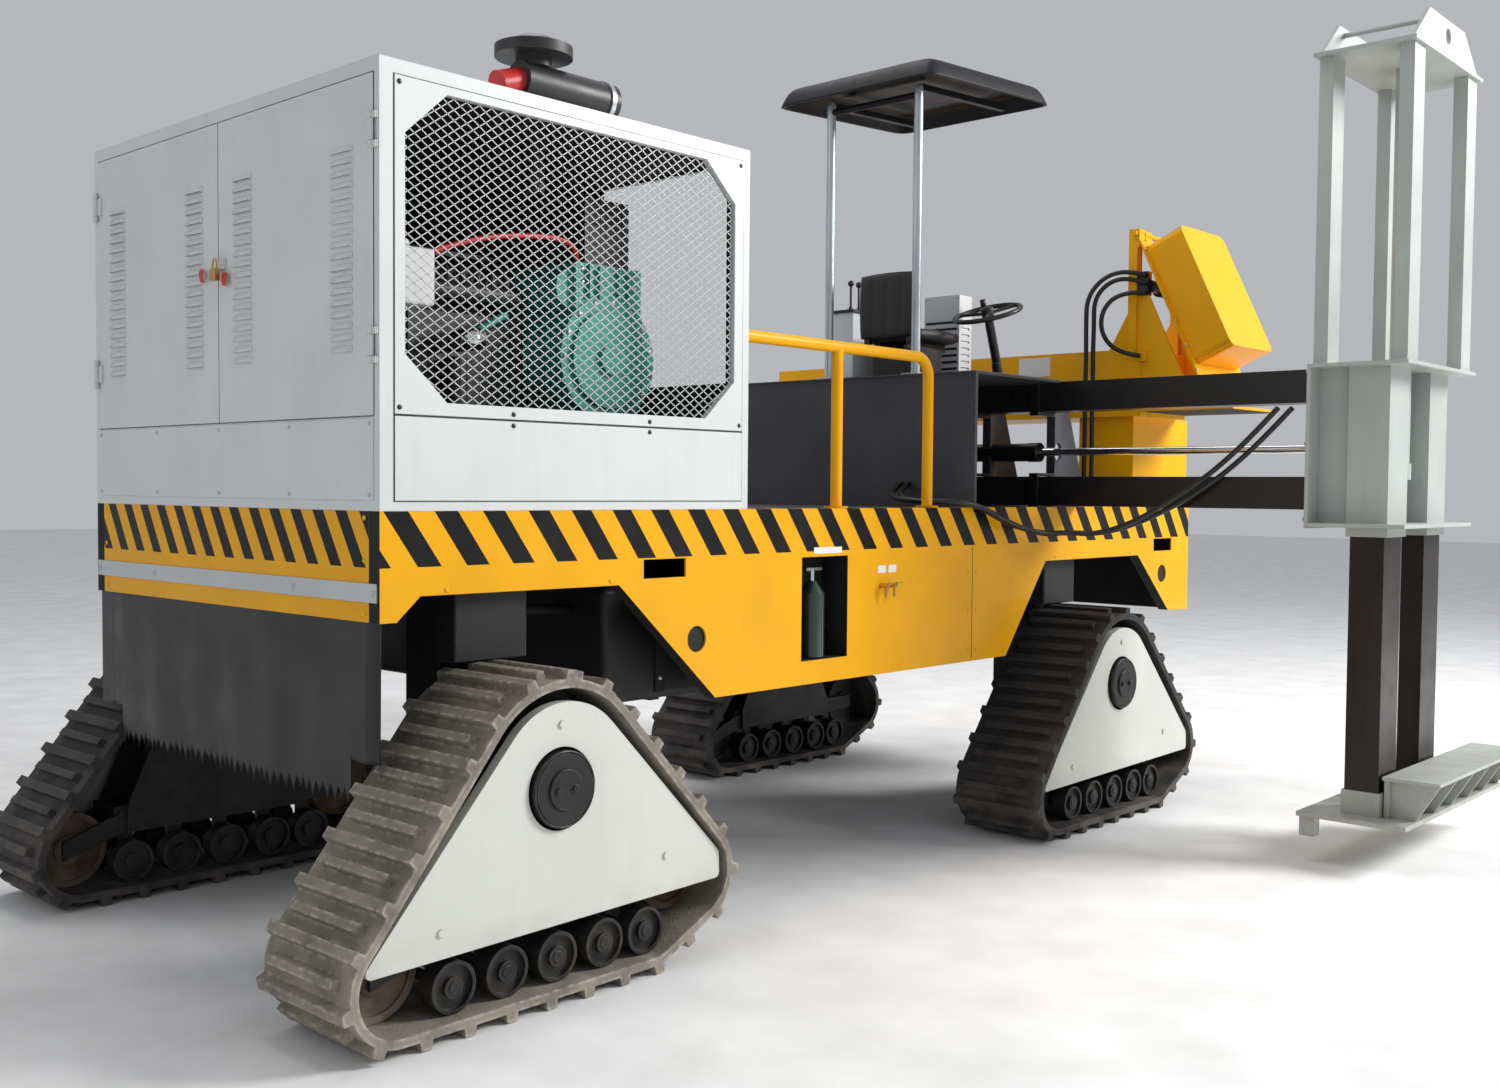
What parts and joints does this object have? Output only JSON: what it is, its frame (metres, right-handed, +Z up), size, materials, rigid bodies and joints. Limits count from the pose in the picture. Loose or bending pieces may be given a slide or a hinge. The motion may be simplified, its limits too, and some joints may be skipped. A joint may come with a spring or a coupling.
{
  "type": "tracked work machine",
  "caption": "Self-propelled work machine on triangular rubber tracks, with an engine housing, operator platform under a canopy, and a side-shifting mast with a lifting foot.",
  "frame": {"origin": "centre of the bounding box's footprint, on the ground", "axes": "+X forward (the way the operator faces), +Y the machine's left, +Z up; the mast is on the right side"},
  "size_m": [6.988, 5.32, 4.5616],
  "materials": {
    "yellow_paint": "semi-gloss enamel",
    "light_grey_paint": "satin enamel",
    "mast_grey_paint": "satin enamel, greenish",
    "charcoal_paint": "satin enamel",
    "black_paint": "semi-gloss enamel",
    "dark_frame_steel": "worn dark paint",
    "carrier_paint": "off-white guard over a black undercarriage",
    "track_rubber": "dusty moulded rubber",
    "skirt_rubber": "sheet rubber",
    "hose_rubber": "smooth hose",
    "galvanised_tube": "galvanised",
    "column_steel": "greased dark steel with rust",
    "rod_chrome": "polished",
    "engine_black": "painted casting",
    "pump_teal": "gloss enamel",
    "canopy_plastic": "grained moulding",
    "seat_vinyl": "black vinyl",
    "wheel_plastic": "moulded rim",
    "cabinet_paint": "satin enamel",
    "mesh_steel": "expanded mesh, painted",
    "fitting_black": "painted bottle and brass taps"
  },
  "bodies": {
    "chassis": {"chassis_frame": "dark_frame_steel", "arm_guides": "dark_frame_steel", "fascia_right": "yellow_paint", "fascia_left": "yellow_paint", "end_panels": "yellow_paint", "handrail": "yellow_paint", "front_structure": "yellow_paint", "tilt_hood": "yellow_paint", "deck": "charcoal_paint", "platform_base": "charcoal_paint", "lever_console": "charcoal_paint", "rear_skirt": "skirt_rubber", "housing_shell": "light_grey_paint", "mesh_guards": "mesh_steel", "engine": "engine_black", "radiator": "engine_black", "air_intake": "engine_black", "pump_generator": "pump_teal", "shift_barrel": "black_paint", "steering_column": "black_paint", "seat_base": "black_paint", "canopy_poles": "galvanised_tube", "canopy": "canopy_plastic", "control_cabinet": "cabinet_paint", "service_fittings": "fitting_black", "arm_hoses": "hose_rubber", "hood_hoses": "hose_rubber"},
    "door_right": {"door_right": "light_grey_paint"},
    "door_left": {"door_left": "light_grey_paint"},
    "fan": {"cooling_fan": "black_paint"},
    "seat": {"seat": "seat_vinyl"},
    "steering_wheel": {"steering_wheel": "wheel_plastic"},
    "levers": {"control_levers": "black_paint"},
    "side_arm": {"side_beams": "black_paint", "mast_sleeve": "mast_grey_paint", "mast_tower": "mast_grey_paint", "lift_barrel": "mast_grey_paint"},
    "lift_frame": {"lift_columns": "column_steel", "lift_rod": "rod_chrome", "foot_shoe": "mast_grey_paint"},
    "track_rear_right": {"belt_rear_right": "track_rubber", "carrier_rear_right": "carrier_paint"},
    "sprocket_rear_right": {"drive_sprocket_rear_right": "dark_frame_steel"},
    "rear_idler_rear_right": {"rear_idler_rear_right": "dark_frame_steel"},
    "front_idler_rear_right": {"front_idler_rear_right": "dark_frame_steel"},
    "track_rear_left": {"belt_rear_left": "track_rubber", "carrier_rear_left": "carrier_paint"},
    "sprocket_rear_left": {"drive_sprocket_rear_left": "dark_frame_steel"},
    "rear_idler_rear_left": {"rear_idler_rear_left": "dark_frame_steel"},
    "front_idler_rear_left": {"front_idler_rear_left": "dark_frame_steel"},
    "track_front_right": {"belt_front_right": "track_rubber", "carrier_front_right": "carrier_paint"},
    "sprocket_front_right": {"drive_sprocket_front_right": "dark_frame_steel"},
    "rear_idler_front_right": {"rear_idler_front_right": "dark_frame_steel"},
    "front_idler_front_right": {"front_idler_front_right": "dark_frame_steel"},
    "track_front_left": {"belt_front_left": "track_rubber", "carrier_front_left": "carrier_paint"},
    "sprocket_front_left": {"drive_sprocket_front_left": "dark_frame_steel"},
    "rear_idler_front_left": {"rear_idler_front_left": "dark_frame_steel"},
    "front_idler_front_left": {"front_idler_front_left": "dark_frame_steel"}
  },
  "joints": [
    {"name": "door_right_swing", "type": "hinge", "parent": "chassis", "child": "door_right", "pos_m": [-3.10799, -0.405, 2.9011], "axis": [0, 0, 1], "range_deg": [0, 105]},
    {"name": "door_left_swing", "type": "hinge", "parent": "chassis", "child": "door_left", "pos_m": [-3.10799, 1.925, 2.9011], "axis": [0, 0, -1], "range_deg": [0, 105]},
    {"name": "fan_spin", "type": "hinge", "parent": "chassis", "child": "fan", "pos_m": [-1.30399, 1.135, 2.70111], "axis": [1, 0, 0], "continuous": true},
    {"name": "seat_slide", "type": "slide", "parent": "chassis", "child": "seat", "axis": [1, 0, 0], "range_m": [-0.05, 0.07]},
    {"name": "steering_spin", "type": "hinge", "parent": "chassis", "child": "steering_wheel", "pos_m": [1.54601, -0.03, 3.10111], "axis": [-0.342, 0, 0.9397], "continuous": true},
    {"name": "levers_tilt", "type": "hinge", "parent": "chassis", "child": "levers", "pos_m": [1.17601, 0.695, 3.1341], "axis": [1, 0, 0], "range_deg": [-18, 18]},
    {"name": "side_shift", "type": "slide", "parent": "chassis", "child": "side_arm", "axis": [0, 1, 0], "range_m": [0, 0.72], "deforming": ["arm_hoses"]},
    {"name": "mast_lift", "type": "slide", "parent": "side_arm", "child": "lift_frame", "axis": [0, 0, 1], "range_m": [-0.135, 1.2]},
    {"name": "tilt_rear_right", "type": "hinge", "parent": "chassis", "child": "track_rear_right", "pos_m": [-2.51599, -0.39, 0.8411], "axis": [0, 1, 0], "range_deg": [-5, 5]},
    {"name": "drive_rear_right", "type": "hinge", "parent": "chassis", "child": "sprocket_rear_right", "pos_m": [-2.51599, -0.53, 0.8411], "axis": [0, 1, 0], "continuous": true},
    {"name": "rear_idle_rear_right", "type": "hinge", "parent": "track_rear_right", "child": "rear_idler_rear_right", "pos_m": [-3.24599, -0.535, 0.25111], "axis": [0, 1, 0], "continuous": true},
    {"name": "front_idle_rear_right", "type": "hinge", "parent": "track_rear_right", "child": "front_idler_rear_right", "pos_m": [-1.78599, -0.535, 0.37111], "axis": [0, 1, 0], "continuous": true},
    {"name": "tilt_rear_left", "type": "hinge", "parent": "chassis", "child": "track_rear_left", "pos_m": [-2.51599, 1.91, 0.8411], "axis": [0, 1, 0], "range_deg": [-5, 5]},
    {"name": "drive_rear_left", "type": "hinge", "parent": "chassis", "child": "sprocket_rear_left", "pos_m": [-2.51599, 2.05, 0.8411], "axis": [0, 1, 0], "continuous": true},
    {"name": "rear_idle_rear_left", "type": "hinge", "parent": "track_rear_left", "child": "rear_idler_rear_left", "pos_m": [-3.24599, 2.055, 0.25111], "axis": [0, 1, 0], "continuous": true},
    {"name": "front_idle_rear_left", "type": "hinge", "parent": "track_rear_left", "child": "front_idler_rear_left", "pos_m": [-1.78599, 2.055, 0.37111], "axis": [0, 1, 0], "continuous": true},
    {"name": "tilt_front_right", "type": "hinge", "parent": "chassis", "child": "track_front_right", "pos_m": [1.89601, -0.39, 0.8411], "axis": [0, 1, 0], "range_deg": [-5, 5]},
    {"name": "drive_front_right", "type": "hinge", "parent": "chassis", "child": "sprocket_front_right", "pos_m": [1.89601, -0.53, 0.8411], "axis": [0, 1, 0], "continuous": true},
    {"name": "rear_idle_front_right", "type": "hinge", "parent": "track_front_right", "child": "rear_idler_front_right", "pos_m": [1.16601, -0.535, 0.25111], "axis": [0, 1, 0], "continuous": true},
    {"name": "front_idle_front_right", "type": "hinge", "parent": "track_front_right", "child": "front_idler_front_right", "pos_m": [2.62601, -0.535, 0.37111], "axis": [0, 1, 0], "continuous": true},
    {"name": "tilt_front_left", "type": "hinge", "parent": "chassis", "child": "track_front_left", "pos_m": [1.89601, 1.91, 0.8411], "axis": [0, 1, 0], "range_deg": [-5, 5]},
    {"name": "drive_front_left", "type": "hinge", "parent": "chassis", "child": "sprocket_front_left", "pos_m": [1.89601, 2.05, 0.8411], "axis": [0, 1, 0], "continuous": true},
    {"name": "rear_idle_front_left", "type": "hinge", "parent": "track_front_left", "child": "rear_idler_front_left", "pos_m": [1.16601, 2.055, 0.25111], "axis": [0, 1, 0], "continuous": true},
    {"name": "front_idle_front_left", "type": "hinge", "parent": "track_front_left", "child": "front_idler_front_left", "pos_m": [2.62601, 2.055, 0.37111], "axis": [0, 1, 0], "continuous": true}
  ],
  "couplings": [
    {"joint": "rear_idle_rear_right", "follows": "drive_rear_right", "ratio": 2.1798},
    {"joint": "front_idle_rear_right", "follows": "drive_rear_right", "ratio": 2.1798},
    {"joint": "rear_idle_rear_left", "follows": "drive_rear_left", "ratio": 2.1798},
    {"joint": "front_idle_rear_left", "follows": "drive_rear_left", "ratio": 2.1798},
    {"joint": "rear_idle_front_right", "follows": "drive_front_right", "ratio": 2.1798},
    {"joint": "front_idle_front_right", "follows": "drive_front_right", "ratio": 2.1798},
    {"joint": "rear_idle_front_left", "follows": "drive_front_left", "ratio": 2.1798},
    {"joint": "front_idle_front_left", "follows": "drive_front_left", "ratio": 2.1798}
  ]
}
